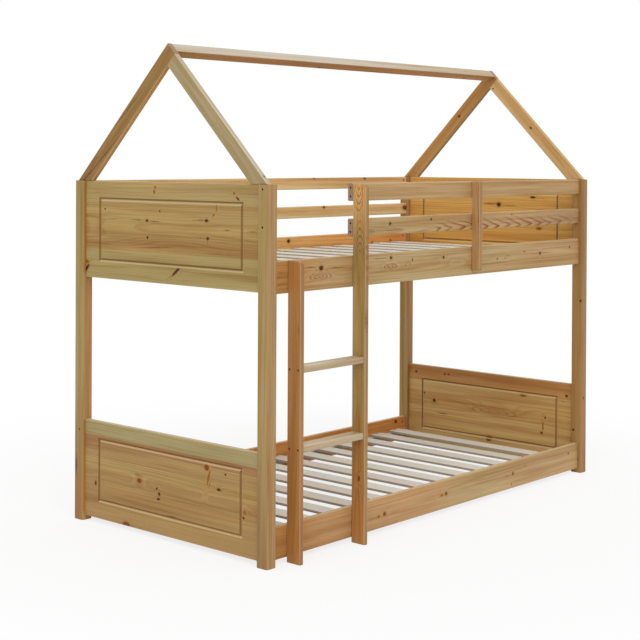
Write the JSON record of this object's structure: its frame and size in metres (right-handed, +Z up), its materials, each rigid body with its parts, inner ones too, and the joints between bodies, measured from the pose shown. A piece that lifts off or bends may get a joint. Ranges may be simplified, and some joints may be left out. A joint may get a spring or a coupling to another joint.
{
  "type": "house bunk bed",
  "caption": "Low pine bunk bed shaped like a house: slatted decks between corner posts, panelled ends, guard boards, a ladder at one side and a gable roof frame.",
  "frame": {"origin": "centre of the whole footprint, ladder included, on the floor", "axes": "+X along the bed towards the end away from the ladder, -Y out of the ladder side, +Z up"},
  "size_m": [1.97, 1.0212, 1.7223],
  "materials": {
    "frame_pine": "solid knotty pine, clear satin varnish",
    "panel_pine": "edge-glued pine board, clear satin varnish",
    "ladder_pine": "solid pine, clear satin varnish",
    "slat_pine": "raw planed pine, pale and matt",
    "screw_steel": "zinc plated steel of the screw and bolt heads, darkened in their holes"
  },
  "bodies": {
    "root": {"post_front_left": "frame_pine", "post_front_right": "frame_pine", "post_back_left": "frame_pine", "post_back_right": "frame_pine", "side_rail_lower_front": "frame_pine", "side_rail_lower_back": "frame_pine", "side_rail_upper_front": "frame_pine", "side_rail_upper_back": "frame_pine", "guard_top_front": "frame_pine", "guard_top_back": "frame_pine", "guard_middle_front": "frame_pine", "guard_middle_back": "frame_pine", "guard_support": "ladder_pine", "end_panel_lower_left": "panel_pine", "end_panel_lower_right": "panel_pine", "end_panel_upper_left": "panel_pine", "end_panel_upper_right": "panel_pine", "ladder_stile_left": "ladder_pine", "ladder_stile_right": "ladder_pine", "ladder_tread_lower": "ladder_pine", "ladder_tread_upper": "ladder_pine", "rafter_front_left": "frame_pine", "rafter_back_left": "frame_pine", "rafter_front_right": "frame_pine", "rafter_back_right": "frame_pine", "ridge_beam": "frame_pine", "slat_cleat_lower_front": "slat_pine", "slat_cleat_lower_back": "slat_pine", "slat_cleat_upper_front": "slat_pine", "slat_cleat_upper_back": "slat_pine", "slat_lower_01": "slat_pine", "slat_lower_02": "slat_pine", "slat_lower_03": "slat_pine", "slat_lower_04": "slat_pine", "slat_lower_05": "slat_pine", "slat_lower_06": "slat_pine", "slat_lower_07": "slat_pine", "slat_lower_08": "slat_pine", "slat_lower_09": "slat_pine", "slat_lower_10": "slat_pine", "slat_lower_11": "slat_pine", "slat_lower_12": "slat_pine", "slat_lower_13": "slat_pine", "slat_lower_14": "slat_pine", "slat_upper_01": "slat_pine", "slat_upper_02": "slat_pine", "slat_upper_03": "slat_pine", "slat_upper_04": "slat_pine", "slat_upper_05": "slat_pine", "slat_upper_06": "slat_pine", "slat_upper_07": "slat_pine", "slat_upper_08": "slat_pine", "slat_upper_09": "slat_pine", "slat_upper_10": "slat_pine", "slat_upper_11": "slat_pine", "slat_upper_12": "slat_pine", "slat_upper_13": "slat_pine", "slat_upper_14": "slat_pine"}
  },
  "joints": []
}
